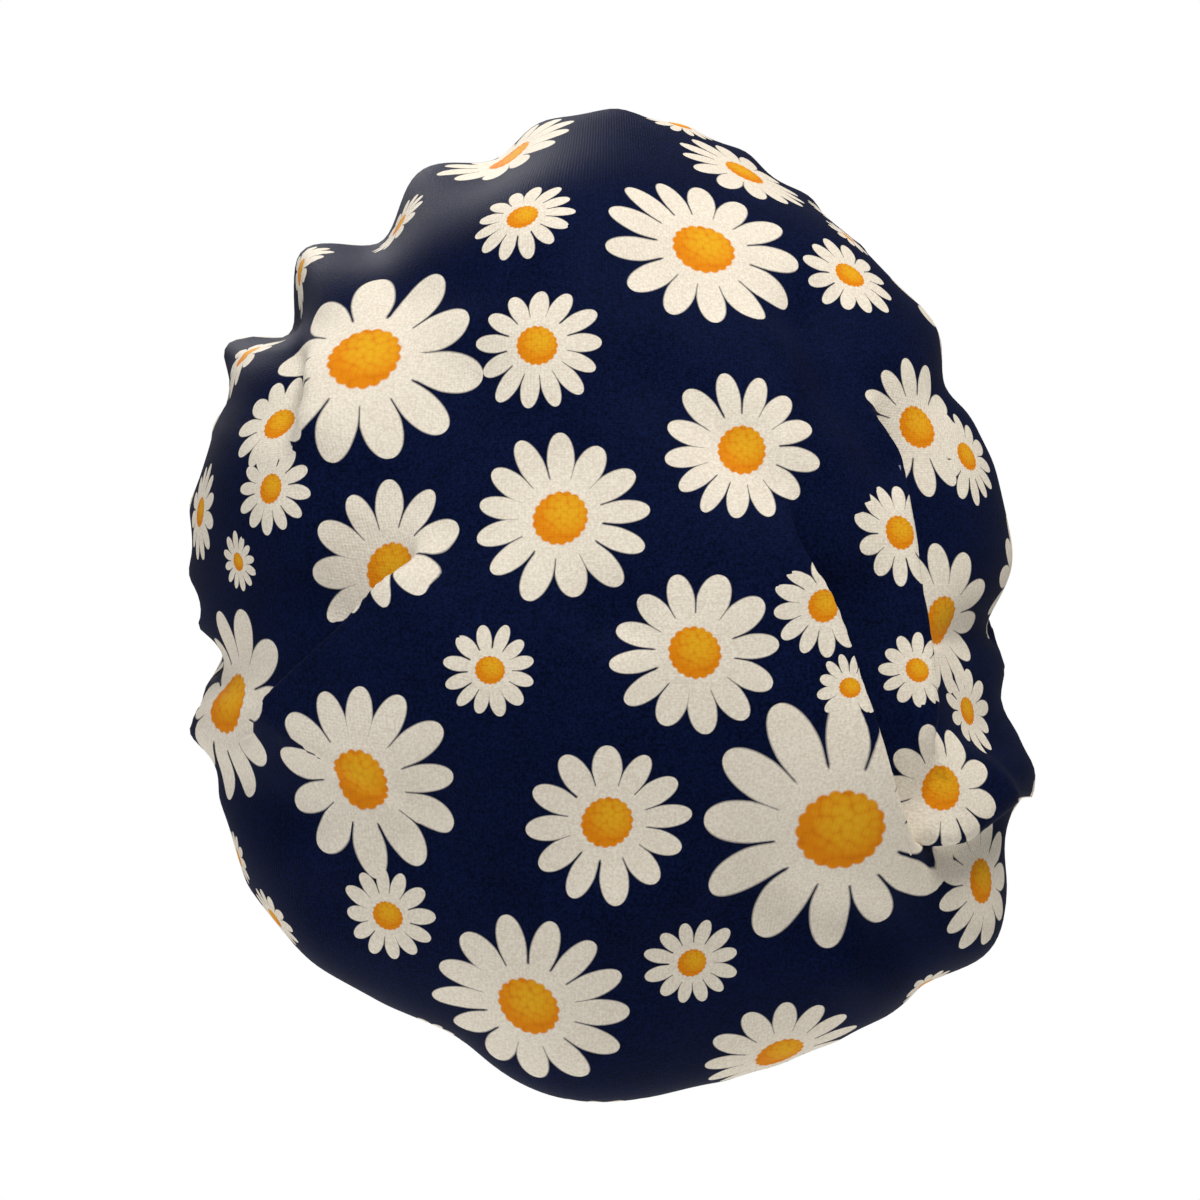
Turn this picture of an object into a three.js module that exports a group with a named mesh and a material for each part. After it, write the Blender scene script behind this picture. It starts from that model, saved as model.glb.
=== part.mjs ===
import * as THREE from "three";

// Bouffant scrub cap, in millimetres. The origin is the centre of the head opening,
// +Z is up and -Y is towards the wearer's face.
const openingHalfWidth = 78;
const openingHalfDepth = 98;
const openingDrop = 47.5;        // brow edge above, nape edge below, the opening's centre
const clothWall = 1.6;
const bandWall = 2.4;
const browBandHeight = 40;
const casingHeight = 14;
const seamGap = 0.6;

const pleatStep = 17;            // width of the drop from a pleat's top cloth to the cloth under it
const poleBack = 180;            // how far the pouch stands behind the opening's centre
const poleHeight = -8;
const backFullness = 0.9;        // below 1 makes the back of the pouch flatter

const columns = 84;
const rings = 16;
const bandStations = 46;

// How far the cap reaches from the middle of its back, as seen from behind.
// Angle 0 is the wearer's left, 90 the top, 180 the wearer's right, 270 the bottom.
const outline = [
  { angle: 0, reach: 141 },
  { angle: 15, reach: 149 },
  { angle: 30, reach: 153 },
  { angle: 45, reach: 156 },
  { angle: 60, reach: 161 },
  { angle: 75, reach: 170 },
  { angle: 90, reach: 173 },
  { angle: 105, reach: 168 },
  { angle: 120, reach: 158 },
  { angle: 135, reach: 150 },
  { angle: 150, reach: 141 },
  { angle: 165, reach: 136 },
  { angle: 180, reach: 134 },
  { angle: 195, reach: 140 },
  { angle: 210, reach: 151 },
  { angle: 225, reach: 158 },
  { angle: 240, reach: 157 },
  { angle: 255, reach: 161 },
  { angle: 270, reach: 160 },
  { angle: 285, reach: 155 },
  { angle: 300, reach: 151 },
  { angle: 315, reach: 153 },
  { angle: 330, reach: 150 },
  { angle: 345, reach: 144 },
];

// Large gathers that run over the edge of the cap towards the opening.
const gathers = [
  { angle: 76, spread: 4.5, rise: -4 },
  { angle: 67, spread: 5, rise: 5 },
  { angle: 57, spread: 5, rise: -7 },
  { angle: 49.5, spread: 4.5, rise: 10 },
  { angle: 42, spread: 4.5, rise: -10 },
  { angle: 34, spread: 5, rise: 7 },
  { angle: 353, spread: 5, rise: -6 },
  { angle: 346, spread: 4, rise: 3 },
  { angle: 290, spread: 5, rise: -3 },
  { angle: 230, spread: 4.5, rise: -7 },
  { angle: 221, spread: 6, rise: 7 },
  { angle: 201, spread: 3.5, rise: 6 },
  { angle: 182, spread: 6, rise: -6 },
  { angle: 146, spread: 4, rise: -5 },
  { angle: 138, spread: 5, rise: 4 },
  { angle: 104, spread: 5, rise: 2 },
];

// Pleats that lie over the cloth beside them. The path is in millimetres from the
// middle of the back, left of the wearer first, then up. The cloth on the left hand
// of the path, walking along it, lies on top when over is 1.
const pleats = [
  {
    path: [[-60, 43], [-65, 16], [-75, -9], [-89, -47], [-109, -82], [-118, -100], [-106, -120]],
    over: 1, rise: 9, overSpread: 34, underSpread: 14,
  },
  {
    path: [[-90, 75], [-95, 59], [-100, 38], [-105, 13], [-109, -8], [-113, -34], [-117, -55], [-122, -74]],
    over: 1, rise: 8, overSpread: 22, underSpread: 12,
  },
  {
    path: [[66, 27], [68, 20], [82, 3], [92, -8], [113, -27], [124, -39], [127, -51]],
    over: -1, rise: 8, overSpread: 40, underSpread: 18,
  },
  {
    path: [[105, 101], [104, 92], [104, 74], [110, 58]],
    over: -1, rise: 9, overSpread: 26, underSpread: 16,
  },
  {
    path: [[-92, -63], [-108, -70], [-122, -76], [-134, -65], [-144, -58]],
    over: -1, rise: 11, overSpread: 20, underSpread: 16,
  },
];

const radians = Math.PI / 180;

function mix(a, b, t) {
  return a + (b - a) * t;
}

function smooth(t) {
  const c = Math.min(1, Math.max(0, t));
  return c * c * (3 - 2 * c);
}

function subtract(a, b) {
  return [a[0] - b[0], a[1] - b[1], a[2] - b[2]];
}

function unit(a) {
  const size = Math.hypot(a[0], a[1], a[2]) || 1;
  return [a[0] / size, a[1] / size, a[2] / size];
}

function cross(a, b) {
  return [a[1] * b[2] - a[2] * b[1], a[2] * b[0] - a[0] * b[2], a[0] * b[1] - a[1] * b[0]];
}

function along(point, direction, distance) {
  return point.map((value, axis) => value + direction[axis] * distance);
}

// Smooth closed curve through the outline rows.
function reachAt(angle) {
  const step = 360 / outline.length;
  const turn = (((angle % 360) + 360) % 360) / step;
  const k = Math.floor(turn);
  const t = turn - k;
  const row = (n) => outline[(k + n + outline.length) % outline.length].reach;
  const slopeIn = (row(1) - row(-1)) / 2;
  const slopeOut = (row(2) - row(0)) / 2;
  const t2 = t * t;
  const t3 = t2 * t;
  return (2 * t3 - 3 * t2 + 1) * row(0) + (t3 - 2 * t2 + t) * slopeIn
    + (3 * t2 - 2 * t3) * row(1) + (t3 - t2) * slopeOut;
}

// The band is tall over the brow and narrow at the nape.
function bandHeight(angle) {
  const front = smooth((Math.sin(angle * radians) + 0.55) / 1.1);
  return mix(casingHeight, browBandHeight, front);
}

function openingPoint(angle, outward, up) {
  const c = Math.cos(angle * radians);
  const s = Math.sin(angle * radians);
  return [(openingHalfWidth + outward) * c, -(openingHalfDepth + outward) * s, openingDrop * s + up];
}

function edgePoint(angle) {
  return openingPoint(angle, bandWall / 2, bandHeight(angle) + seamGap);
}

// One run of cloth from the middle of the back, over the edge of the cap, to the band.
function clothRun(angle) {
  const c = Math.cos(angle * radians);
  const s = Math.sin(angle * radians);
  const reach = reachAt(angle);
  const edgeBack = 75 - 45 * s;
  const run = [];
  const steps = 40;
  for (let i = 0; i <= steps; i++) {
    const turn = (i / steps) * Math.PI / 2;
    const out = reach * Math.pow(Math.sin(turn), backFullness);
    const back = mix(edgeBack, poleBack, Math.pow(Math.max(0, Math.cos(turn)), backFullness));
    run.push([out * c, back, poleHeight + out * s]);
  }
  const start = run[steps];
  const end = edgePoint(angle);
  const forward = mix(22, 70, smooth((s + 1) / 2));
  const lift = mix(36, 62, (s + 1) / 2) * radians;
  const puff = mix(56, 34, (s + 1) / 2);
  const first = [start[0], start[1] - forward, start[2]];
  const second = [
    end[0] + puff * Math.cos(lift) * c,
    end[1] - puff * Math.cos(lift) * s,
    end[2] + puff * Math.sin(lift),
  ];
  for (let i = 1; i <= steps; i++) {
    const t = i / steps;
    const u = 1 - t;
    run.push([0, 1, 2].map((axis) => u * u * u * start[axis] + 3 * u * u * t * first[axis]
      + 3 * u * t * t * second[axis] + t * t * t * end[axis]));
  }
  return run;
}

// The same run as equal steps of cloth length.
function evenRun(angle, count) {
  const run = clothRun(angle);
  const length = [0];
  for (let i = 1; i < run.length; i++) {
    const step = subtract(run[i], run[i - 1]);
    length.push(length[i - 1] + Math.hypot(step[0], step[1], step[2]));
  }
  const total = length[length.length - 1];
  const points = [];
  let k = 1;
  for (let i = 0; i <= count; i++) {
    const want = total * i / count;
    while (k < run.length - 1 && length[k] < want) k++;
    const t = (want - length[k - 1]) / (length[k] - length[k - 1]);
    points.push(run[k].map((value, axis) => mix(run[k - 1][axis], value, t)));
  }
  return points;
}

function gatherRise(angle, part) {
  const grow = smooth((part - 0.28) / 0.22);
  const settle = mix(1, 0.15, smooth((part - 0.78) / 0.22));
  let rise = 0;
  for (const row of gathers) {
    const away = ((angle - row.angle + 540) % 360) - 180;
    rise += row.rise * Math.exp(-Math.pow(away / row.spread, 2));
  }
  const small = 3.2 * Math.cos(18 * angle * radians + 1.2 * Math.sin(3 * angle * radians));
  return grow * settle * rise + small * smooth((part - 0.45) / 0.3) * mix(1, 0.25, smooth((part - 0.85) / 0.15));
}

function pleatRise(pleat, across, up) {
  let best = Infinity;
  let side = 0;
  let place = 0;
  const last = pleat.path.length - 1;
  for (let i = 0; i < last; i++) {
    const [ax, az] = pleat.path[i];
    const [bx, bz] = pleat.path[i + 1];
    const dx = bx - ax;
    const dz = bz - az;
    const t = Math.min(1, Math.max(0, ((across - ax) * dx + (up - az) * dz) / (dx * dx + dz * dz)));
    const away = Math.hypot(across - ax - t * dx, up - az - t * dz);
    if (away < best) {
      best = away;
      side = Math.sign(dx * (up - az) - dz * (across - ax)) * pleat.over;
      place = (i + t) / last;
    }
  }
  const signed = best * side;
  const fade = smooth(place / 0.2) * smooth((1 - place) / 0.15);
  const top = smooth((signed + pleatStep / 2) / pleatStep);
  const over = top * Math.exp(-Math.max(0, signed) / pleat.overSpread);
  const under = (1 - top) * Math.exp(-Math.max(0, -signed) / pleat.underSpread);
  return pleat.rise * fade * (over - 0.35 * under);
}

// Grid of cloth points: grid[ring][column], ring 0 is the middle of the back.
function clothGrid() {
  const runs = [];
  for (let j = 0; j < columns; j++) runs.push(evenRun(j * 360 / columns, rings));
  const grid = [];
  const normals = [];
  for (let i = 0; i <= rings; i++) {
    grid.push([]);
    normals.push([]);
    for (let j = 0; j < columns; j++) {
      const before = runs[(j + columns - 1) % columns][i];
      const after = runs[(j + 1) % columns][i];
      const inner = runs[j][Math.max(0, i - 1)];
      const outer = runs[j][Math.min(rings, i + 1)];
      const normal = i === 0 ? [0, 1, 0] : unit(cross(subtract(outer, inner), subtract(after, before)));
      const point = runs[j][i];
      const part = i / rings;
      const back = smooth((part - 0.02) / 0.06) * (1 - smooth((part - 0.5) / 0.12));
      let rise = gatherRise(j * 360 / columns, part);
      for (const pleat of pleats) rise += back * pleatRise(pleat, point[0], point[2] - poleHeight);
      grid[i].push(along(point, normal, i === rings ? 0 : rise));
    }
  }
  for (let i = 0; i <= rings; i++) {
    for (let j = 0; j < columns; j++) {
      const before = grid[i][(j + columns - 1) % columns];
      const after = grid[i][(j + 1) % columns];
      const inner = grid[Math.max(0, i - 1)][j];
      const outer = grid[Math.min(rings, i + 1)][j];
      const angle = j * 360 / columns * radians;
      const level = [Math.cos(angle), -Math.sin(angle), 0];
      const facing = i === 0 ? [0, 1, 0] : unit(cross(subtract(outer, inner), subtract(after, before)));
      normals[i].push(i === rings ? level : facing);
    }
  }
  return { grid, normals };
}

function meshOf(name, points, faces, colour) {
  const geometry = new THREE.BufferGeometry();
  geometry.setAttribute("position", new THREE.Float32BufferAttribute(points.flat(), 3));
  geometry.setIndex(faces.flat());
  geometry.computeVertexNormals();
  const mesh = new THREE.Mesh(geometry, new THREE.MeshStandardMaterial({ color: colour, roughness: 0.75 }));
  mesh.name = name;
  return mesh;
}

function makeCrown() {
  const { grid, normals } = clothGrid();
  const points = [];
  const faces = [];
  const index = (layer, i, j) => layer * (1 + rings * columns) + (i === 0 ? 0 : 1 + (i - 1) * columns + (j % columns));
  for (const layer of [0, 1]) {
    const shift = layer === 0 ? clothWall / 2 : -clothWall / 2;
    points.push(along(grid[0][0], [0, 1, 0], shift));
    for (let i = 1; i <= rings; i++) {
      for (let j = 0; j < columns; j++) points.push(along(grid[i][j], normals[i][j], shift));
    }
  }
  for (let j = 0; j < columns; j++) {
    faces.push([index(0, 0, 0), index(0, 1, j), index(0, 1, j + 1)]);
    faces.push([index(1, 0, 0), index(1, 1, j + 1), index(1, 1, j)]);
    for (let i = 1; i < rings; i++) {
      const near = index(0, i, j);
      const far = index(0, i + 1, j);
      faces.push([near, far, index(0, i + 1, j + 1)]);
      faces.push([near, index(0, i + 1, j + 1), index(0, i, j + 1)]);
      const nearIn = index(1, i, j);
      const farIn = index(1, i + 1, j);
      faces.push([nearIn, index(1, i + 1, j + 1), farIn]);
      faces.push([nearIn, index(1, i, j + 1), index(1, i + 1, j + 1)]);
    }
    const a = index(0, rings, j);
    const b = index(0, rings, j + 1);
    const c = index(1, rings, j + 1);
    const d = index(1, rings, j);
    faces.push([a, d, c]);
    faces.push([a, c, b]);
  }
  return meshOf("crown", points, faces, 0x16213f);
}

// A strip of folded cloth that follows the opening between two angles.
function makeStrip(name, fromAngle, toAngle, stations, wallAt, colour) {
  const points = [];
  const faces = [];
  const around = 8;
  for (let k = 0; k <= stations; k++) {
    const angle = mix(fromAngle, toAngle, k / stations);
    const height = bandHeight(angle);
    const wall = wallAt(angle);
    const round = Math.min(0.8, wall / 3);
    const section = [
      [0, round], [round, 0], [wall - round, 0], [wall, round],
      [wall, height - round], [wall - round, height], [round, height], [0, height - round],
    ];
    for (const [out, up] of section) points.push(openingPoint(angle, out, up));
  }
  for (let k = 0; k < stations; k++) {
    for (let n = 0; n < around; n++) {
      const a = k * around + n;
      const b = k * around + (n + 1) % around;
      faces.push([a, b, b + around]);
      faces.push([a, b + around, a + around]);
    }
  }
  const last = stations * around;
  for (let n = 1; n < around - 1; n++) {
    faces.push([0, n + 1, n]);
    faces.push([last, last + n, last + n + 1]);
  }
  return meshOf(name, points, faces, colour);
}

const seamAngle = 20;
const gapAngle = 0.25;
const cap = new THREE.Group();
cap.name = "scrub_cap";
cap.add(makeCrown());
cap.add(makeStrip("brow_band", -seamAngle + gapAngle / 2, 180 + seamAngle - gapAngle / 2, bandStations,
  () => bandWall, 0x131c38));
cap.add(makeStrip("nape_casing", 180 + seamAngle + gapAngle / 2, 360 - seamAngle - gapAngle / 2, 60,
  (angle) => 3 + 0.6 * Math.cos(30 * angle * radians), 0x131c38));

export default cap;
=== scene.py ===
import heapq
import math
import random

import bmesh
import bpy
import numpy as np
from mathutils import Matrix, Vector
from mathutils.bvhtree import BVHTree


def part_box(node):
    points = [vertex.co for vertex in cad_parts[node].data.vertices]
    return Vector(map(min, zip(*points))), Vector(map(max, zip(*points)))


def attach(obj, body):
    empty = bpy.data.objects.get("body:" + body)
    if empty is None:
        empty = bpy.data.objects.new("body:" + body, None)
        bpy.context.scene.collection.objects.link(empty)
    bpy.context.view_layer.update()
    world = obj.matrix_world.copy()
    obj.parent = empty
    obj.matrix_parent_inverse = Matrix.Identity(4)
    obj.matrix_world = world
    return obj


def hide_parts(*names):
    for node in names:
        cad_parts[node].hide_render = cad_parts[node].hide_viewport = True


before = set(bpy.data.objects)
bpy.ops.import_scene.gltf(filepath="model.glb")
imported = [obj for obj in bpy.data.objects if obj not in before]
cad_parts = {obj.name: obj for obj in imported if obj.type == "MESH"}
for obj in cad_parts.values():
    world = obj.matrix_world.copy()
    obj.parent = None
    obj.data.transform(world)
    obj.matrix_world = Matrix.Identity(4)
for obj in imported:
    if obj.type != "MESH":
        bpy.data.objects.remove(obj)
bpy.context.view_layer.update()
mm = 0.001

# the room and the view of the back of the cap
view = {
    "lensMm": 101.0,
    "distance": 1.15,        # from the widest part of the cap
    "widestBack": 0.065,     # how far behind the opening the cap is widest
    "aimAcross": 0.0034,
    "aimUp": -0.003,
    "floorDrop": 0.45,
}


def makeCamera():
    data = bpy.data.cameras.new("camera")
    data.lens = view["lensMm"]
    data.sensor_width = 36
    data.clip_start = 0.05
    camera = bpy.data.objects.new("camera", data)
    camera.location = (view["aimAcross"], view["widestBack"] + view["distance"], view["aimUp"])
    camera.rotation_euler = (math.radians(90), 0, math.radians(180))
    bpy.context.collection.objects.link(camera)
    bpy.context.scene.camera = camera
    return camera


camera = makeCamera()
print("camera set")


# ---- shader helpers ----
class Socket:
    def __init__(self, finish, socket):
        self.finish = finish
        self.socket = socket

    def maths(self, operation, *values):
        return self.finish.node("ShaderNodeMath", {"operation": operation}, values)

    def __add__(self, other):
        return self.maths("ADD", self, other)

    def __radd__(self, other):
        return self.maths("ADD", other, self)

    def __sub__(self, other):
        return self.maths("SUBTRACT", self, other)

    def __rsub__(self, other):
        return self.maths("SUBTRACT", other, self)

    def __mul__(self, other):
        return self.maths("MULTIPLY", self, other)

    def __rmul__(self, other):
        return self.maths("MULTIPLY", other, self)

    def __truediv__(self, other):
        return self.maths("DIVIDE", self, other)

    def __rtruediv__(self, other):
        return self.maths("DIVIDE", other, self)

    def __pow__(self, other):
        return self.maths("POWER", self, other)

    def function(self, operation, *values):
        return self.maths(operation, self, *values)


class Finish:
    def __init__(self, name):
        self.material = bpy.data.materials.new(name)
        self.material.use_nodes = True
        self.tree = self.material.node_tree
        self.tree.nodes.clear()

    def node(self, kind, settings=None, values=(), output=0):
        made = self.tree.nodes.new(kind)
        for name, value in (settings or {}).items():
            setattr(made, name, value)
        pairs = values.items() if isinstance(values, dict) else enumerate(values)
        for key, value in pairs:
            if isinstance(value, Socket):
                self.tree.links.new(value.socket, made.inputs[key])
            else:
                made.inputs[key].default_value = value
        if isinstance(output, tuple):
            return [Socket(self, made.outputs[name]) for name in output]
        if len(made.outputs):
            return Socket(self, made.outputs[output])

    def mixColour(self, factor, first, second):
        return self.node("ShaderNodeMix", {"data_type": "RGBA"}, {0: factor, 6: first, 7: second}, 2)

    def clamp(self, value):
        return self.node("ShaderNodeClamp", {}, [value])


def colour(red, green, blue):
    def linear(value):
        value /= 255
        return value / 12.92 if value <= 0.04045 else ((value + 0.055) / 1.055) ** 2.4
    return (linear(red), linear(green), linear(blue), 1.0)


knitLook = {
    "navyDeep": colour(2, 5, 20),
    "navyLit": colour(17, 28, 68),
    "petalShade": colour(222, 211, 194),
    "petalLight": colour(247, 241, 226),
    "centreYellow": colour(232, 180, 36),
    "centreOrange": colour(226, 136, 16),
    "centreDeep": colour(196, 92, 8),
    "reverse": colour(120, 126, 150),
    "reversePetal": colour(196, 192, 190),
    "walePitch": 1.1 * mm,
    "coursePitch": 0.9 * mm,
    "roughness": 0.66,
    "sheen": 0.01,
    "shine": 0.05,
    "shineTint": (0.28, 0.42, 0.9, 1.0),
    "petalBase": 0.45,       # how far out the petals stay joined
    "petalWidest": 0.68,
    "centreSize": 0.28,
    "edgeSoftness": 0.018,
}


def daisyMasks(finish, placeMap, kindMap):
    place = finish.node("ShaderNodeUVMap", {"uv_map": placeMap})
    kind = finish.node("ShaderNodeUVMap", {"uv_map": kindMap})
    x, y = finish.node("ShaderNodeSeparateXYZ", {}, [place], ("X", "Y"))
    countRaw, seedRaw = finish.node("ShaderNodeSeparateXYZ", {}, [kind], ("X", "Y"))
    count = countRaw.function("ROUND")
    seed = seedRaw.function("ROUND")
    away = (x * x + y * y).function("SQRT")
    angle = x.function("ARCTAN2", y)
    wobble = (angle + seed * 1.7).function("SINE") * 0.06 + (angle * 2 + seed * 2.3).function("SINE") * 0.045
    turn = (angle + wobble) * count / (2 * math.pi) + seed * 0.37
    petal = turn.function("FLOOR").function("FLOORED_MODULO", count)
    spread = (turn.function("FRACT") - 0.5) * (2 * math.pi) / count
    key = finish.node("ShaderNodeCombineXYZ", {}, [petal, seed])
    chance = finish.node("ShaderNodeTexWhiteNoise", {"noise_dimensions": "2D"}, {"Vector": key}, "Color")
    chanceLong, chanceWide = finish.node("ShaderNodeSeparateXYZ", {}, [chance], ("X", "Y"))
    reach = 0.90 + chanceLong * 0.09 + (angle * 3 + seed).function("SINE") * 0.025
    along = away * spread.function("COSINE") / reach
    across = (away * spread.function("SINE")).function("ABSOLUTE")
    widest = knitLook["petalWidest"]
    soft = knitLook["edgeSoftness"]
    sector = (math.pi / count).function("TANGENT") * widest
    inside = finish.clamp((widest - along) / 0.2)
    outside = finish.clamp((along - widest) / (1 - widest))
    profile = (1 - inside ** 1.5 * 0.24) * (1 - outside ** 2.3).function("MAXIMUM", 0.0).function("SQRT")
    half = sector * (0.76 + chanceWide * 0.13) * profile
    petals = finish.clamp((half - across) / soft + 0.5) * finish.clamp((1.0 - along) / soft + 0.5)
    petals = petals * finish.clamp((half - soft * 0.2) / (soft * 0.5))
    disc = finish.clamp((knitLook["petalBase"] - away) / soft + 0.5)
    white = petals.function("MAXIMUM", disc)
    scallop = (angle * 9 + seed).function("SINE").function("ABSOLUTE") * 0.022
    rim = knitLook["centreSize"] + scallop + (angle * 2 + seed * 1.3).function("SINE") * 0.01
    middle = finish.clamp((rim - away) / soft + 0.5)
    return {"white": white, "middle": middle, "away": away, "place": place, "x": x, "y": y}


def printedKnit(name, faded=False):
    finish = Finish(name)
    look = knitLook
    first = daisyMasks(finish, "daisyNear", "daisyNearKind")
    second = daisyMasks(finish, "daisyNext", "daisyNextKind")
    white = first["white"].function("MAXIMUM", second["white"])
    middle = first["middle"].function("MAXIMUM", second["middle"])
    spot = finish.node("ShaderNodeTexCoord", {}, (), "Object")
    grain = finish.node("ShaderNodeTexNoise", {}, {"Vector": spot, "Scale": 1150, "Detail": 2.0, "Roughness": 0.6})
    cloud = finish.node("ShaderNodeTexNoise", {}, {"Vector": spot, "Scale": 60, "Detail": 2.0})
    speck = finish.clamp((grain - 0.36) * 3.2)
    navy = finish.mixColour(finish.clamp(speck * 0.6 + cloud * 0.3), look["navyDeep"], look["navyLit"])
    petal = finish.mixColour(finish.clamp(speck * 0.75 + cloud * 0.2), look["petalShade"], look["petalLight"])
    florets = finish.node("ShaderNodeTexVoronoi", {"voronoi_dimensions": "2D"},
                          {"Vector": first["place"], "Scale": 15.0, "Randomness": 0.8}, "Distance")
    lean = (first["y"] * 0.9 - first["x"] * 0.7) * 1.6
    ring = first["away"] / look["centreSize"]
    warm = finish.clamp(0.85 - ring * ring * 0.75 + lean - florets * 0.55)
    centre = finish.mixColour(warm, look["centreOrange"], look["centreYellow"])
    centre = finish.mixColour(finish.clamp((florets - 0.5) * 1.6) * 0.6, centre, look["centreDeep"])
    if faded:
        navy = finish.mixColour(speck * 0.3, look["reverse"], look["reversePetal"])
        petal = look["reversePetal"]
        centre = look["reversePetal"]
        white = white * 0.6
    cloth = finish.mixColour(white, navy, petal)
    cloth = finish.mixColour(middle * (0.3 if faded else 1.0), cloth, centre)
    knit = finish.node("ShaderNodeUVMap", {"uv_map": "knit"})
    u, v = finish.node("ShaderNodeSeparateXYZ", {}, [knit], ("X", "Y"))
    wale = (u * (2 * math.pi / look["walePitch"])).function("SINE")
    course = (v * (2 * math.pi / look["coursePitch"])).function("SINE")
    height = wale * 0.13 + course * 0.08 + grain * 0.9
    bump = finish.node("ShaderNodeBump", {}, {"Strength": 0.35, "Distance": 0.5 * mm, "Height": height})
    rough = look["roughness"] + (grain - 0.5) * 0.25
    shader = finish.node("ShaderNodeBsdfPrincipled", {}, {
        "Base Color": cloth, "Roughness": rough, "Normal": bump,
        "Sheen Weight": look["sheen"], "Sheen Roughness": 0.45, "Specular IOR Level": look["shine"], "Specular Tint": look["shineTint"],
    })
    finish.node("ShaderNodeOutputMaterial", {}, {"Surface": shader})
    return finish.material


printedCloth = printedKnit("printedKnit")
reverseCloth = printedKnit("knitReverse", faded=True)
print("cloth finishes made")


# ---- the shape of the worn crown ----
crownShape = {
    "columns": 400,
    "rings": 116,
    "cloth": 1.2 * mm,
    "backFullness": 0.9,
    "edgeMiddle": 75,        # how far back the widest line runs, at the sides
    "edgeLean": 45,          # and how much further back below than above
    "smallGather": 4.5,
    "hemGather": 1.6,
    "soft": 2.2,
    # how far the cap reaches from the middle of its back, anticlockwise from the wearer's left
    "outline": [141, 149, 153, 156, 160, 166, 168, 165, 157, 150, 141, 136,
                134, 142, 157, 163, 159, 162, 161, 156, 151, 153, 150, 144],
    # angle, spread in degrees, rise
    "gathers": [
        (76, 4.5, -4), (67, 5, 5), (57, 5, -7), (49.5, 4.5, 10), (42, 4.5, -10), (34, 5, 7),
        (353, 5, -6), (346, 4, 3), (290, 5, -3), (230, 4.5, -7), (221, 6, 7), (201, 3.5, 6),
        (182, 6, -6), (146, 4, -5), (138, 5, 4), (104, 5, 2),
    ],
}

# pleats as seen from behind, from the middle of the back: wearer's left first, then up.
# lap is how far the top cloth hangs over, side is 1 where the cloth on the left hand lies on top
pleats = [
    {"path": [(-56, 54), (-61, 33), (-65, 16), (-69, 7), (-75, -9), (-81, -29), (-89, -47), (-98, -64),
              (-108, -82), (-115, -93), (-121, -104)],
     "side": 1, "rise": 10, "lap": 12, "step": 18, "overSpread": 34, "underSpread": 14, "start": 0.3, "end": 0.38},
    {"path": [(-86, 84), (-91, 73), (-95, 59), (-100, 38), (-104, 22), (-105, 13), (-109, -5), (-113, -30),
              (-116, -48), (-119, -62)],
     "side": 1, "rise": 10, "lap": 10, "step": 17, "overSpread": 20, "underSpread": 14, "start": 0.25, "end": 0.22},
    {"path": [(63, 33), (68, 20), (82, 3), (92, -8), (113, -27), (124, -39), (127, -51)],
     "side": -1, "rise": 7, "lap": 11, "step": 17, "overSpread": 40, "underSpread": 18, "start": 0.3, "end": 0.2},
    {"path": [(106, 100), (104, 90), (104, 73), (110, 58), (113, 50)],
     "side": -1, "rise": 6, "lap": 6, "step": 18, "overSpread": 24, "underSpread": 18, "start": 0.4, "end": 0.4},
    {"path": [(-104, -74), (-112, -78), (-122, -78), (-134, -69), (-144, -60)],
     "side": -1, "rise": 7, "lap": 5, "step": 18, "overSpread": 16, "underSpread": 18, "start": 0.3, "end": 0.15},
]

# soft dents and swells on the same chart: from, to, half width, rise
softFolds = [
    ((-72, 104), (-92, 52), 12, -6.0),
    ((-52, 92), (-72, 20), 13, 3.8),
    ((-16, 78), (-56, 44), 13, -3.9),
    ((52, 78), (98, 4), 17, -5.1),
    ((24, 52), (52, 22), 15, -2.7),
    ((62, -68), (94, -100), 14, -4.8),
    ((-14, 120), (-66, 104), 16, -3.6),
    ((-46, -94), (-90, -112), 15, -4.5),
    ((0, -104), (-40, -92), 14, 2.7),
    ((104, -70), (128, -60), 12, -4.5),
    ((-126, -10), (-134, -44), 10, -4.8),
    ((30, 116), (70, 108), 12, -3.6),
    ((-84, -120), (-104, -126), 12, 5.2),
]


def smooth(value):
    value = np.clip(value, 0, 1)
    return value * value * (3 - 2 * value)


crownLow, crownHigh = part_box("crown")
bandLow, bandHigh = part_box("brow_band")
casingLow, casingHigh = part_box("nape_casing")
growth = (crownHigh.z - crownLow.z) / 0.336

band = {
    "wall": 2.4 * mm,
    "browHeight": 40 * mm * growth,
    "casingHeight": 14 * mm * growth,
    "seamGap": 0.35 * mm,
    "seamAngle": 20,
}
openingHalfWidth = bandHigh.x - band["wall"]
openingHalfDepth = -bandLow.y - band["wall"]
openingDrop = bandHigh.z - band["browHeight"]
poleHeight = crownHigh.z - 174.8 * mm * growth
poleBack = crownHigh.y - 0.5 * mm


def reachAt(angles):
    rows = np.array(crownShape["outline"], float) * mm * growth
    turn = (np.degrees(angles) % 360) / (360 / len(rows))
    k = np.floor(turn).astype(int)
    t = turn - k
    row = lambda n: rows[(k + n) % len(rows)]
    slopeIn = (row(1) - row(-1)) / 2
    slopeOut = (row(2) - row(0)) / 2
    return ((2 * t**3 - 3 * t**2 + 1) * row(0) + (t**3 - 2 * t**2 + t) * slopeIn
            + (3 * t**2 - 2 * t**3) * row(1) + (t**3 - t**2) * slopeOut)


def bandHeight(angles):
    front = smooth((np.sin(angles) + 0.55) / 1.1)
    return band["casingHeight"] + (band["browHeight"] - band["casingHeight"]) * front


def openingPoint(angles, outward, up):
    c, s = np.cos(angles), np.sin(angles)
    return np.stack([(openingHalfWidth + outward) * c, -(openingHalfDepth + outward) * s, openingDrop * s + up], -1)


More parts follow.
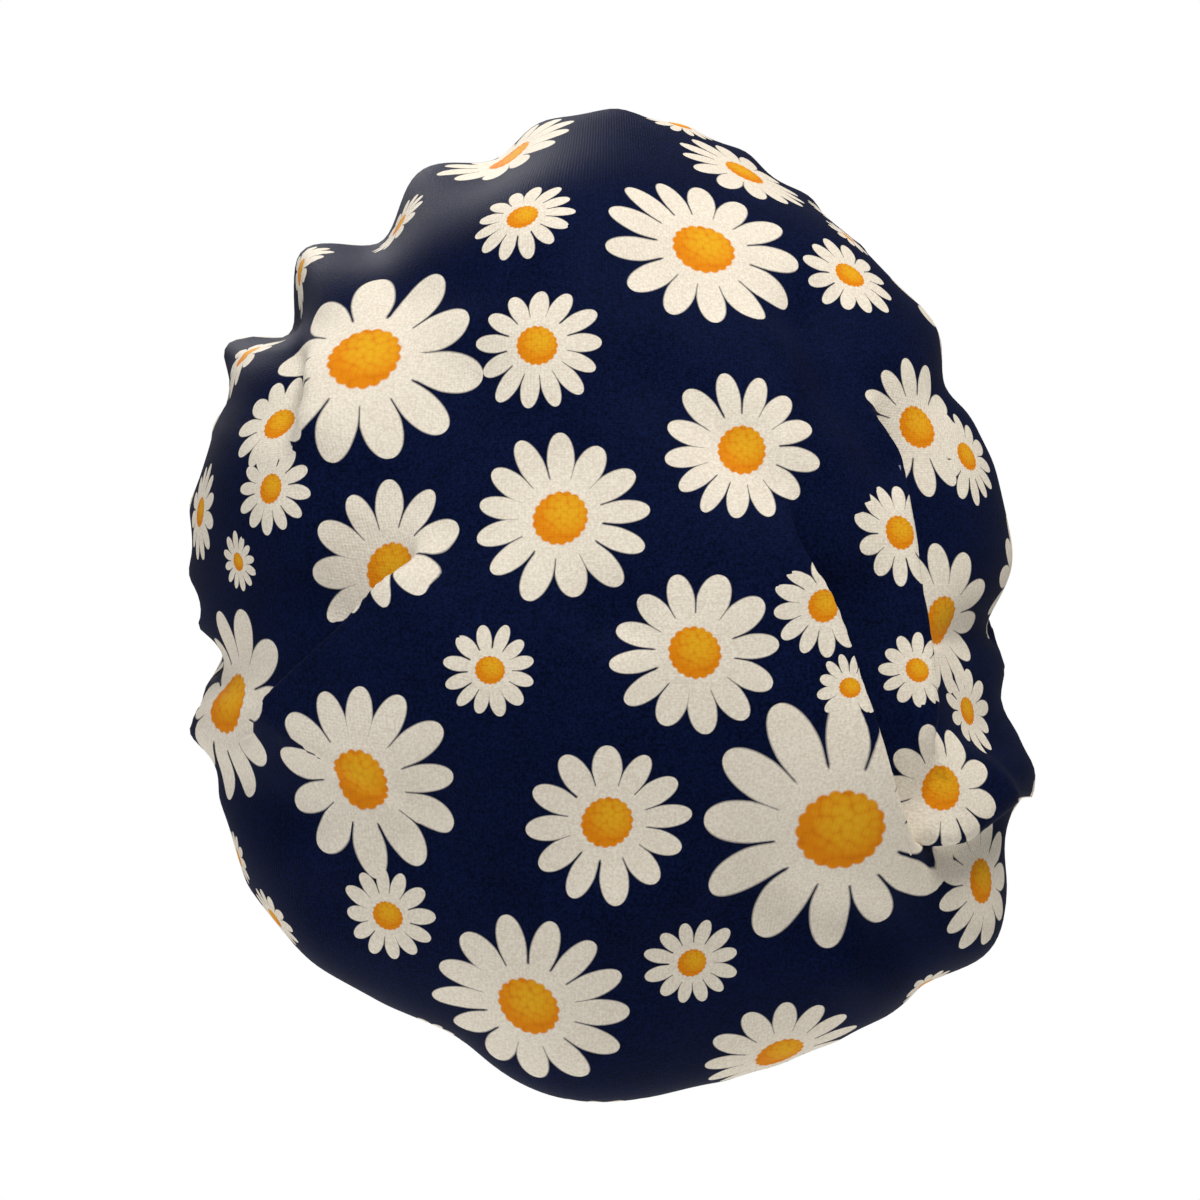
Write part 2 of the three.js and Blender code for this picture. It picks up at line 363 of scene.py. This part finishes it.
# one run of cloth for each column, from the middle of the back over the edge to the band
def clothRuns(angles):
    c, s = np.cos(angles), np.sin(angles)
    steps = 120
    turn = np.linspace(0, math.pi / 2, steps)[:, None]
    full = crownShape["backFullness"]
    out = reachAt(angles)[None] * np.sin(turn) ** full
    edgeBack = (crownShape["edgeMiddle"] - crownShape["edgeLean"] * s) * mm * growth
    back = edgeBack + (poleBack - edgeBack) * np.clip(np.cos(turn), 0, 1) ** full
    first = np.stack([out * c, back, poleHeight + out * s], -1)
    start = first[-1]
    end = openingPoint(angles, band["wall"] / 2, bandHeight(angles) + band["seamGap"])
    forward = (22 + 48 * smooth((s + 1) / 2)) * mm * growth
    lift = np.radians(36 + 26 * (s + 1) / 2)
    puff = (56 - 22 * (s + 1) / 2) * mm * growth
    near = start - np.stack([0 * s, forward, 0 * s], -1)
    far = end + np.stack([puff * np.cos(lift) * c, -puff * np.cos(lift) * s, puff * np.sin(lift)], -1)
    t = np.linspace(0, 1, steps)[1:, None, None]
    u = 1 - t
    second = u**3 * start + 3 * u**2 * t * near + 3 * u * t**2 * far + t**3 * end
    return np.concatenate([first, second]), steps - 1


def surfaceNormals(points):
    before = np.roll(points, 1, 1)
    after = np.roll(points, -1, 1)
    inner = np.concatenate([points[:1], points[:-1]])
    outer = np.concatenate([points[1:], points[-1:]])
    normals = np.cross(after - before, outer - inner)
    normals[0] = (0, 1, 0)
    size = np.linalg.norm(normals, axis=-1, keepdims=True)
    return normals / np.maximum(size, 1e-12)


def seenFromBehind(points):
    eye = camera.location
    reach = view["distance"] / (eye.y - points[..., 1])
    across = eye.x + (points[..., 0] - eye.x) * reach
    up = eye.z + (points[..., 2] - eye.z) * reach
    return across, up - poleHeight


def smoothPath(path, count=60):
    rows = np.array(path, float) * mm * growth
    length = np.concatenate([[0], np.cumsum(np.linalg.norm(np.diff(rows, axis=0), axis=1))])
    even = np.linspace(0, length[-1], count)
    line = np.stack([np.interp(even, length, rows[:, n]) for n in (0, 1)], -1)
    for _ in range(6):
        line[1:-1] = (line[:-2] + 2 * line[1:-1] + line[2:]) / 4
    return line


# how far each point stands past the pleat's edge, towards the cloth beneath
def pastEdge(pleat, across, up):
    line = smoothPath(pleat["path"])
    best = np.full(across.shape, 1e9)
    signed = np.zeros(across.shape)
    place = np.zeros(across.shape)
    towards = np.zeros(across.shape + (2,))
    for k in range(len(line) - 1):
        (ax, az), (bx, bz) = line[k], line[k + 1]
        dx, dz = bx - ax, bz - az
        size = math.hypot(dx, dz)
        t = np.clip(((across - ax) * dx + (up - az) * dz) / size**2, 0, 1)
        away = np.hypot(across - ax - t * dx, up - az - t * dz)
        nearer = away < best
        side = np.sign(dx * (up - az) - dz * (across - ax)) * pleat["side"]
        best = np.where(nearer, away, best)
        signed = np.where(nearer, -away * side, signed)
        place = np.where(nearer, (k + t) / (len(line) - 1), place)
        under = np.array([dz, -dx]) / size * pleat["side"]
        towards[nearer] = under
    return signed, place, towards


def pleatShift(pleat, points, normals, reachRatio):
    across, up = seenFromBehind(points)
    signed, place, towards = pastEdge(pleat, across, up)
    fade = smooth(place / pleat["start"]) * smooth((1 - place) / pleat["end"])
    fade = fade * (1 - smooth((reachRatio - 1.02) / 0.2))
    step = pleat["step"] * mm
    lap = pleat["lap"] * mm
    turnBack = math.acos(min(1, step / (lap * math.pi)))
    edge = -turnBack * step / math.pi + lap * math.sin(turnBack)
    past = signed + edge * fade
    over = np.exp(-np.maximum(0, -past - step / 2) / (pleat["overSpread"] * mm))
    under = np.exp(-np.maximum(0, past - step / 2) / (pleat["underSpread"] * mm))
    inside = np.clip(past / step, -0.5, 0.5)
    slide = -np.sin(math.pi * inside) * np.where(past < 0, over, under) * lap * fade
    top = 1 - smooth(inside + 0.5)
    rise = pleat["rise"] * mm * fade * (top * over - 0.6 * (1 - top) * under)
    sideways = np.stack([towards[..., 0], 0 * across, towards[..., 1]], -1)
    sideways -= normals * (sideways * normals).sum(-1, keepdims=True)
    sideways /= np.maximum(np.linalg.norm(sideways, axis=-1, keepdims=True), 1e-6)
    return sideways * slide[..., None] + normals * rise[..., None]


def softNoise(points, size, seed):
    # a few crossing waves stand in for slow chance swells in the cloth
    chance = random.Random(seed)
    total = np.zeros(points.shape[:-1])
    for _ in range(14):
        turn = np.array([chance.gauss(0, 1) for _ in range(3)])
        turn *= 2 * math.pi / size * chance.uniform(0.6, 1.4) / np.linalg.norm(turn)
        total += np.sin(points @ turn + chance.uniform(0, 6.28))
    return total / math.sqrt(7)


def crownPoints():
    columns, rings = crownShape["columns"], crownShape["rings"]
    angles = np.arange(columns) * 2 * math.pi / columns
    runs, edgeStep = clothRuns(angles)
    steps = np.linalg.norm(np.diff(runs, axis=0), axis=-1)
    length = np.concatenate([np.zeros((1, columns)), np.cumsum(steps, 0)])
    points = np.zeros((rings + 1, columns, 3))
    part = np.linspace(0, 1, rings + 1)
    for j in range(columns):
        for axis in range(3):
            points[:, j, axis] = np.interp(part * length[-1, j], length[:, j], runs[:, j, axis])
    clothLength = part[:, None] * length[-1][None]
    reachRatio = clothLength / length[edgeStep][None]
    toBand = 1 - part[:, None] + 0 * reachRatio
    normals = surfaceNormals(points)

    rise = np.zeros(reachRatio.shape)
    degrees = np.degrees(angles)[None]
    for angle, spread, height in crownShape["gathers"]:
        away = (degrees - angle + 540) % 360 - 180
        rise = rise + height * np.exp(-((away / spread) ** 2))
    rise = rise * smooth((reachRatio - 0.55) / 0.4) * (0.12 + 0.88 * smooth(toBand / 0.2))
    wander = np.sin(3 * angles)[None] * 1.2 + np.sin(7 * angles + 1)[None] * 0.5
    strength = 0.75 + 0.45 * np.sin(5 * angles + 2)[None] * np.sin(2 * angles)[None]
    wide = np.cos(18 * angles[None] + wander)
    fine = np.cos(37 * angles[None] + 2.2 * wander + 1)
    tight = np.cos(63 * angles[None] + 3 * wander)
    rise = rise + crownShape["smallGather"] * strength * wide * smooth((reachRatio - 0.95) / 0.3) * smooth(toBand / 0.1)
    rise = rise + 3.4 * fine * smooth((0.5 - toBand) / 0.25) * smooth(toBand / 0.05)
    rise = rise + crownShape["hemGather"] * tight * smooth((0.16 - toBand) / 0.1) * smooth(toBand / 0.02 + 0.25)
    points = points + normals * (rise * mm)[..., None]
    points = points + normals * (softNoise(points, 0.11, 5) * crownShape["soft"] * mm
                                 * smooth(toBand / 0.15) * smooth(part[:, None] / 0.05))[..., None]
    normals = surfaceNormals(points)
    across, up = seenFromBehind(points)
    dents = np.zeros(reachRatio.shape)
    for (ax, az), (bx, bz), width, height in softFolds:
        dx, dz = bx - ax, bz - az
        t = np.clip(((across / mm - ax) * dx + (up / mm - az) * dz) / (dx * dx + dz * dz), 0, 1)
        away = np.hypot(across / mm - ax - t * dx, up / mm - az - t * dz)
        dents += height * np.exp(-((away / width) ** 2))
    points = points + normals * (dents * (1 - smooth((reachRatio - 1.05) / 0.15)) * mm)[..., None]
    normals = surfaceNormals(points)
    shift = np.zeros(points.shape)
    for pleat in pleats:
        shift += pleatShift(pleat, points, normals, reachRatio)
    points = points + shift * smooth(part / 0.06)[:, None, None]
    return points, clothLength, angles, reachRatio


def makeCrown():
    points, clothLength, angles, reachRatio = crownPoints()
    rings, columns = crownShape["rings"], crownShape["columns"]
    sheet = bmesh.new()
    bmesh.ops.create_grid(sheet, x_segments=columns, y_segments=rings, size=1)
    place = sheet.verts.layers.int.new("place")
    knit = sheet.loops.layers.uv.new("knit")
    for vert in sheet.verts:
        j = round((vert.co.x + 1) / 2 * columns)
        i = round((vert.co.y + 1) / 2 * rings)
        vert[place] = 0 if i == 0 else i * columns + j % columns
        vert.index = i * (columns + 1) + j
        for loop in vert.link_loops:
            turn = j * 2 * math.pi / columns
            far = clothLength[i, j % columns]
            loop[knit].uv = (-far * math.cos(turn), far * math.sin(turn))
        vert.co = points[i, j % columns]
    bmesh.ops.remove_doubles(sheet, verts=sheet.verts, dist=1e-6)
    bmesh.ops.recalc_face_normals(sheet, faces=sheet.faces)
    back = max(sheet.faces, key=lambda face: face.calc_center_median().y)
    if back.normal.y < 0:
        bmesh.ops.reverse_faces(sheet, faces=sheet.faces)
    for face in sheet.faces:
        face.smooth = True
    mesh = bpy.data.meshes.new("crown_cloth")
    sheet.to_mesh(mesh)
    sheet.free()
    crown = bpy.data.objects.new("crown_cloth", mesh)
    bpy.context.collection.objects.link(crown)
    return crown, points, reachRatio


crown, clothPoints, reachRatio = makeCrown()
print("crown shaped:", len(crown.data.polygons), "faces")


# ---- the daisy print ----
# as seen from behind, from the middle of the back: across to the wearer's left, up, size
# from the middle to a petal's tip, petals, and turn in degrees
daisyChart = [
    (84, 87, 41, 11, 10), (-32, 124, 35, 13, 0), (30, 135, 18, 13, 5), (25, 91, 22, 13, 12),
    (-45, 55, 26, 13, 6), (17, 32, 29, 13, 0), (75, 14, 30, 12, 20), (41, -20, 15, 12, 9),
    (-29, -14, 27, 12, 15), (86, -58, 34, 12, 14), (1, -72, 27, 12, 3), (-79, -75, 46, 12, 5),
    (76, -104, 17, 12, 20), (28, -135, 34, 13, 9), (-28, -120, 16, 12, 0), (-58, -151, 27, 13, 12),
    (128, -86, 16, 12, 7), (131, -31, 35, 10, 0), (127, 17, 10, 12, 3), (116, 42, 16, 12, 6),
    (140, 34, 17, 12, 2), (113, 64, 19, 12, 30), (106, 116, 17, 11, 14), (72, 132, 14, 12, 0),
    (37, 159, 27, 12, 10), (-46, 150, 25, 13, 16), (-82, 115, 18, 12, 0), (-105, 63, 24, 12, 8),
    (-99, 27, 18, 12, 10), (-73, 2, 17, 12, 3), (-113, -3, 27, 12, 12), (-82, -26, 11, 12, 6),
    (-105, -20, 13, 12, 0), (-113, -60, 24, 11, 8), (-127, -92, 24, 11, 2), (-122, -34, 16, 11, 14),
    (-122, 53, 17, 12, 8),
]

scatter = {
    "sizes": [38, 31, 27, 22, 18, 15, 12, 10],
    "tries": 420,
    "spacing": 1.02,
    "seed": 11,
}


# spreads flat cloth coordinates outwards from one point, over the folds
def unroll(centre, start, upward, limit, pointList, normalList, neighbours):
    def frameAt(guess, normal):
        d = guess[0] * normal[0] + guess[1] * normal[1] + guess[2] * normal[2]
        a = (guess[0] - d * normal[0], guess[1] - d * normal[1], guess[2] - d * normal[2])
        size = math.sqrt(a[0] ** 2 + a[1] ** 2 + a[2] ** 2) or 1
        a = (a[0] / size, a[1] / size, a[2] / size)
        b = (normal[1] * a[2] - normal[2] * a[1], normal[2] * a[0] - normal[0] * a[2],
             normal[0] * a[1] - normal[1] * a[0])
        return a, b

    first = frameAt(upward, normalList[start])
    gap = [pointList[start][n] - centre[n] for n in range(3)]
    place = {start: (sum(gap[n] * first[1][n] for n in range(3)), sum(gap[n] * first[0][n] for n in range(3)))}
    frames = {start: first}
    waiting = [(0.0, start, None)]
    done = set()
    while waiting:
        far, k, source = heapq.heappop(waiting)
        if k in done:
            continue
        if far > limit:
            break
        p = pointList[k]
        ring = neighbours(k)
        if k != start:
            total = u = v = gx = gy = gz = 0.0
            for m in ring:
                if m not in done:
                    continue
                q = pointList[m]
                a, b = frames[m]
                wx, wy, wz = p[0] - q[0], p[1] - q[1], p[2] - q[2]
                size = math.sqrt(wx * wx + wy * wy + wz * wz)
                if size < 1e-9:
                    continue
                upPart = wx * a[0] + wy * a[1] + wz * a[2]
                sidePart = wx * b[0] + wy * b[1] + wz * b[2]
                flat = math.hypot(upPart, sidePart)
                if flat < 1e-9:
                    continue
                stretch = size / flat
                weight = 1 / size
                total += weight
                u += weight * (place[m][0] + sidePart * stretch)
                v += weight * (place[m][1] + upPart * stretch)
                gx += weight * a[0]
                gy += weight * a[1]
                gz += weight * a[2]
            if total == 0:
                continue
            place[k] = (u / total, v / total)
            frames[k] = frameAt((gx / total, gy / total, gz / total), normalList[k])
        done.add(k)
        for m in ring:
            if m not in done:
                q = pointList[m]
                size = math.sqrt((p[0] - q[0]) ** 2 + (p[1] - q[1]) ** 2 + (p[2] - q[2]) ** 2)
                heapq.heappush(waiting, (far + size, m, k))
    return {k: place[k] for k in done}


class PrintLayer:
    # keeps the two nearest daisies of every face
    def __init__(self, mesh, corners):
        self.mesh = mesh
        self.corners = corners
        count = len(corners)
        self.rank = np.full((2, count), 9.0)
        self.place = np.full((2, count, 4, 2), 5.0)
        self.kind = np.tile(np.array([12.0, 1.0]), (2, count, 1))

    def add(self, flat, size, petals, seed, turn):
        used = flat[self.corners] / size
        c, s = math.cos(math.radians(turn)), math.sin(math.radians(turn))
        used = np.stack([used[..., 0] * c - used[..., 1] * s, used[..., 0] * s + used[..., 1] * c], -1)
        rank = np.hypot(used[..., 0], used[..., 1]).mean(1)
        rank = np.where(np.isfinite(rank), rank, 99.0)
        best = rank < self.rank[0]
        self.rank[1][best] = self.rank[0][best]
        self.place[1][best] = self.place[0][best]
        self.kind[1][best] = self.kind[0][best]
        self.rank[0][best] = rank[best]
        self.place[0][best] = used[best]
        self.kind[0][best] = (petals, seed)
        second = ~best & (rank < self.rank[1])
        self.rank[1][second] = rank[second]
        self.place[1][second] = used[second]
        self.kind[1][second] = (petals, seed)

    def write(self, loopsOfFaces):
        total = len(self.mesh.loops)
        for layer, name in enumerate(["daisyNear", "daisyNext"]):
            places = np.full((total, 2), 5.0)
            kinds = np.tile(np.array([12.0, 1.0]), (total, 1))
            for corner in range(4):
                places[loopsOfFaces[:, corner]] = self.place[layer][:, corner]
                kinds[loopsOfFaces[:, corner]] = self.kind[layer]
            for suffix, values in (("", places), ("Kind", kinds)):
                uv = self.mesh.uv_layers.new(name=name + suffix)
                uv.data.foreach_set("uv", values.astype(np.float32).ravel())


def facesAndLoops(mesh):
    starts = np.zeros(len(mesh.polygons), int)
    totals = np.zeros(len(mesh.polygons), int)
    mesh.polygons.foreach_get("loop_start", starts)
    mesh.polygons.foreach_get("loop_total", totals)
    loops = starts[:, None] + np.minimum(np.arange(4)[None], totals[:, None] - 1)
    verts = np.zeros(len(mesh.loops), int)
    mesh.loops.foreach_get("vertex_index", verts)
    return loops, verts


def printCrown():
    mesh = crown.data
    columns, rings = crownShape["columns"], crownShape["rings"]
    loops, verts = facesAndLoops(mesh)
    place = np.zeros(len(mesh.vertices), int)
    mesh.attributes["place"].data.foreach_get("value", place)
    corners = place[verts][loops]
    layer = PrintLayer(mesh, corners)
    normals = surfaceNormals(clothPoints)
    flatPoints = clothPoints.reshape(-1, 3)
    pointList = [tuple(p) for p in flatPoints.tolist()]
    normalList = [tuple(p) for p in normals.reshape(-1, 3).tolist()]

    def neighbours(k):
        i, j = divmod(k, columns)
        if i == 0:
            return list(range(columns, 2 * columns))
        left, right = (j - 1) % columns, (j + 1) % columns
        near = [i * columns + left, i * columns + right]
        if i < rings:
            near += [(i + 1) * columns + n for n in (left, j, right)]
        near += [(i - 1) * columns + n for n in (left, j, right)] if i > 1 else [0]
        return near

    tree = BVHTree.FromPolygons(pointList, [tuple(row) for row in corners.tolist()])
    eye = camera.location
    placed = []
    seed = 0

    def stamp(centre, size, petals, turn):
        start = int(np.argmin(((flatPoints - np.array(centre)) ** 2).sum(1)))
        start = 0 if start < columns else start
        found = unroll(centre, start, (0.0, 0.0, 1.0), size * mm * 1.32, pointList, normalList, neighbours)
        flat = np.full((len(pointList), 2), np.nan)
        keys = np.fromiter(found.keys(), int)
        flat[keys] = np.array(list(found.values()))
        layer.add(flat, size * mm, petals, seed % 40 + 1, turn)
        placed.append((np.array(centre), size * mm))

    for across, up, size, petals, turn in daisyChart:
        target = Vector((across * mm, view["widestBack"], poleHeight + up * mm))
        hit = tree.ray_cast(eye, (target - eye).normalized())[0]
        if hit is None:
            hit = tree.find_nearest(target)[0]
        seed += 1
        stamp(tuple(hit), size, petals, turn)
    print("charted daisies placed:", len(placed))

    chance = random.Random(scatter["seed"])
    toEye = np.array(eye)[None] - flatPoints
    toEye /= np.linalg.norm(toEye, axis=1, keepdims=True)
    facing = (normals.reshape(-1, 3) * toEye).sum(1)
    hidden = (facing < 0.18) | (reachRatio.reshape(-1) > 1.03)
    hidden &= np.arange(len(flatPoints)) >= columns * 8
    choices = np.nonzero(hidden)[0]
    for size in scatter["sizes"]:
        for _ in range(scatter["tries"]):
            centre = flatPoints[chance.choice(choices)]
            if all(np.linalg.norm(centre - other) > (size * mm + far) * scatter["spacing"] for other, far in placed):
                seed += 1
                stamp(tuple(centre), size, chance.choice([11, 12, 12, 13]), chance.uniform(0, 40))
    print("daisies in all:", len(placed))
    layer.write(loops)


printCrown()


def finishCrown():
    crown.data.materials.append(printedCloth)
    crown.data.materials.append(reverseCloth)
    wall = crown.modifiers.new("wall", "SOLIDIFY")
    wall.thickness = crownShape["cloth"]
    wall.offset = -1
    wall.material_offset = 1
    wall.material_offset_rim = 0
    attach(crown, "root")
    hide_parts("crown")


finishCrown()


# ---- the bands round the opening ----
def makeStrip(name, low, high, stations, rows, thickness, outward):
    sheet = bmesh.new()
    bmesh.ops.create_grid(sheet, x_segments=stations, y_segments=rows, size=1)
    knit = sheet.loops.layers.uv.new("knit")
    for vert in sheet.verts:
        along = (vert.co.x + 1) / 2
        up = (vert.co.y + 1) / 2
        angle = math.radians(low + (high - low) * along)
        height = float(bandHeight(np.array(angle)))
        round_ = thickness * 0.1
        point = openingPoint(np.array(angle), outward(angle, up), round_ + (height - 2 * round_) * up)
        length = (openingHalfWidth + openingHalfDepth) / 2 * (angle - math.radians(low))
        for loop in vert.link_loops:
            loop[knit].uv = (length, height * up)
        vert.co = Vector(point.tolist())
    bmesh.ops.recalc_face_normals(sheet, faces=sheet.faces)
    sheet.faces.ensure_lookup_table()
    sample = sheet.faces[len(sheet.faces) // 2]
    middle = sample.calc_center_median()
    if sample.normal.dot(Vector((middle.x, middle.y, 0))) < 0:
        bmesh.ops.reverse_faces(sheet, faces=sheet.faces)
    for face in sheet.faces:
        face.smooth = True
    mesh = bpy.data.meshes.new(name)
    sheet.to_mesh(mesh)
    sheet.free()
    strip = bpy.data.objects.new(name, mesh)
    bpy.context.collection.objects.link(strip)
    wall = strip.modifiers.new("wall", "SOLIDIFY")
    wall.thickness = thickness
    wall.offset = 0
    edge = strip.modifiers.new("edge", "BEVEL")
    edge.width = thickness * 0.3
    edge.segments = 2
    edge.limit_method = "ANGLE"
    edge.angle_limit = math.radians(50)
    return strip


def printStrip(strip, sizes, seed):
    mesh = strip.data
    loops, verts = facesAndLoops(mesh)
    layer = PrintLayer(mesh, verts[loops])
    flat = np.zeros((len(mesh.vertices), 2))
    coordinates = np.zeros(len(mesh.loops) * 2, np.float32)
    mesh.uv_layers["knit"].data.foreach_get("uv", coordinates)
    flat[verts] = coordinates.reshape(-1, 2)
    chance = random.Random(seed)
    length, height = flat.max(0)
    placed = []
    for size in sizes:
        for _ in range(60):
            centre = np.array([chance.uniform(0, length), chance.uniform(-0.1, 1.1) * height])
            if all(np.linalg.norm(centre - other) > (size * mm + far) * 1.03 for other, far in placed):
                placed.append((centre, size * mm))
                layer.add(flat - centre, size * mm, chance.choice([11, 12, 13]), len(placed) % 40 + 1,
                          chance.uniform(0, 30))
    layer.write(loops)
    mesh.materials.append(printedCloth)


bandLook = {
    "stations": 260,
    "rows": 16,
    "creaseDepth": 0.5 * mm,
    "stitchLine": 0.09,      # height of the hem stitching, as a part of the band
    "stitchDip": 0.35 * mm,
}


def browOutward(angle, up):
    crease = math.sin(angle * 23 + 4 * up) * math.sin(angle * 7 + 1) * math.sin(math.pi * up)
    dip = math.exp(-(((up - bandLook["stitchLine"]) / 0.03) ** 2))
    swell = 0.25 * mm * math.sin(math.pi * up)
    return band["wall"] / 2 + crease * bandLook["creaseDepth"] * 0.5 + swell - dip * bandLook["stitchDip"]


seam = band["seamAngle"]
browBand = makeStrip("brow_band_cloth", -seam + 0.2, 180 + seam - 0.2, bandLook["stations"], bandLook["rows"],
                     band["wall"] * 0.9, browOutward)
printStrip(browBand, [26, 20, 15, 12, 10], 3)
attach(browBand, "root")
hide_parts("brow_band")
print("brow band made")

casingLook = {
    "stations": 420,
    "rows": 10,
    "gathers": 46,
    "gatherDepth": 0.7 * mm,
}


def casingOutward(angle, up):
    wave = math.cos(angle * casingLook["gathers"] * 1.0 + 1.5 * math.sin(angle * 9)) * casingLook["gatherDepth"]
    round_ = math.sin(math.pi * min(1, max(0, up)))
    return 1.0 * mm + (0.7 * mm + wave) * (0.35 + 0.65 * round_)


casing = makeStrip("nape_casing_cloth", 180 + seam + 0.2, 360 - seam - 0.2, casingLook["stations"], casingLook["rows"],
                   1.5 * mm, casingOutward)
printStrip(casing, [18, 14, 10], 5)
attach(casing, "root")
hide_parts("nape_casing")
print("nape casing made")


# ---- room and light ----
def plainFinish(name, tone, roughness, glow):
    finish = Finish(name)
    spot = finish.node("ShaderNodeTexCoord", {}, (), "Object")
    cloud = finish.node("ShaderNodeTexNoise", {}, {"Vector": spot, "Scale": 3.0, "Detail": 3.0})
    shade = finish.mixColour(cloud, tone, tuple(0.97 * c for c in tone[:3]) + (1.0,))
    shader = finish.node("ShaderNodeBsdfPrincipled", {}, {
        "Base Color": shade, "Roughness": roughness, "Emission Color": (1.0, 1.0, 1.0, 1.0), "Emission Strength": glow,
    })
    finish.node("ShaderNodeOutputMaterial", {}, {"Surface": shader})
    return finish.material


def makeRoom():
    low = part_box("crown")[0]
    floorSheet = bmesh.new()
    bmesh.ops.create_grid(floorSheet, x_segments=4, y_segments=4, size=2.2)
    bmesh.ops.translate(floorSheet, verts=floorSheet.verts, vec=(0, 0, low.z - view["floorDrop"]))
    mesh = bpy.data.meshes.new("floor")
    floorSheet.to_mesh(mesh)
    floorSheet.free()
    floor = bpy.data.objects.new("floor", mesh)
    bpy.context.collection.objects.link(floor)
    mesh.materials.append(plainFinish("paleFloor", (0.88, 0.88, 0.87, 1.0), 0.8, 0.2))

    world = bpy.data.worlds.new("room")
    world.use_nodes = True
    tree = world.node_tree
    tree.nodes.clear()
    light = tree.nodes.new("ShaderNodeBackground")
    light.inputs["Color"].default_value = (1.0, 0.98, 0.96, 1)
    light.inputs["Strength"].default_value = 0.22
    seen = tree.nodes.new("ShaderNodeBackground")
    seen.inputs["Color"].default_value = (1.0, 1.0, 1.0, 1)
    seen.inputs["Strength"].default_value = 1.0
    ray = tree.nodes.new("ShaderNodeLightPath")
    mix = tree.nodes.new("ShaderNodeMixShader")
    out = tree.nodes.new("ShaderNodeOutputWorld")
    tree.links.new(ray.outputs["Is Camera Ray"], mix.inputs[0])
    tree.links.new(light.outputs[0], mix.inputs[1])
    tree.links.new(seen.outputs[0], mix.inputs[2])
    tree.links.new(mix.outputs[0], out.inputs["Surface"])
    bpy.context.scene.world = world


def makeLight(name, place, aim, size, power, tone):
    data = bpy.data.lights.new(name, "AREA")
    data.shape = "DISK"
    data.size = size
    data.energy = power
    data.color = tone
    lamp = bpy.data.objects.new(name, data)
    lamp.location = place
    lamp.rotation_euler = (Vector(aim) - Vector(place)).to_track_quat("-Z", "Y").to_euler()
    bpy.context.collection.objects.link(lamp)


makeRoom()
makeLight("overhead", (-0.3, 0.72, 1.2), (0, 0.06, 0.02), 0.6, 16, (1.0, 0.97, 0.93))
makeLight("front", (0.6, -1.3, 1.1), (0, 0, 0), 1.0, 16, (1.0, 0.98, 0.96))
makeLight("side", (1.3, 0.9, 0.2), (0, 0.05, 0), 0.9, 5, (0.95, 0.97, 1.0))
bpy.context.scene.view_settings.view_transform = "Standard"
print("room lit")
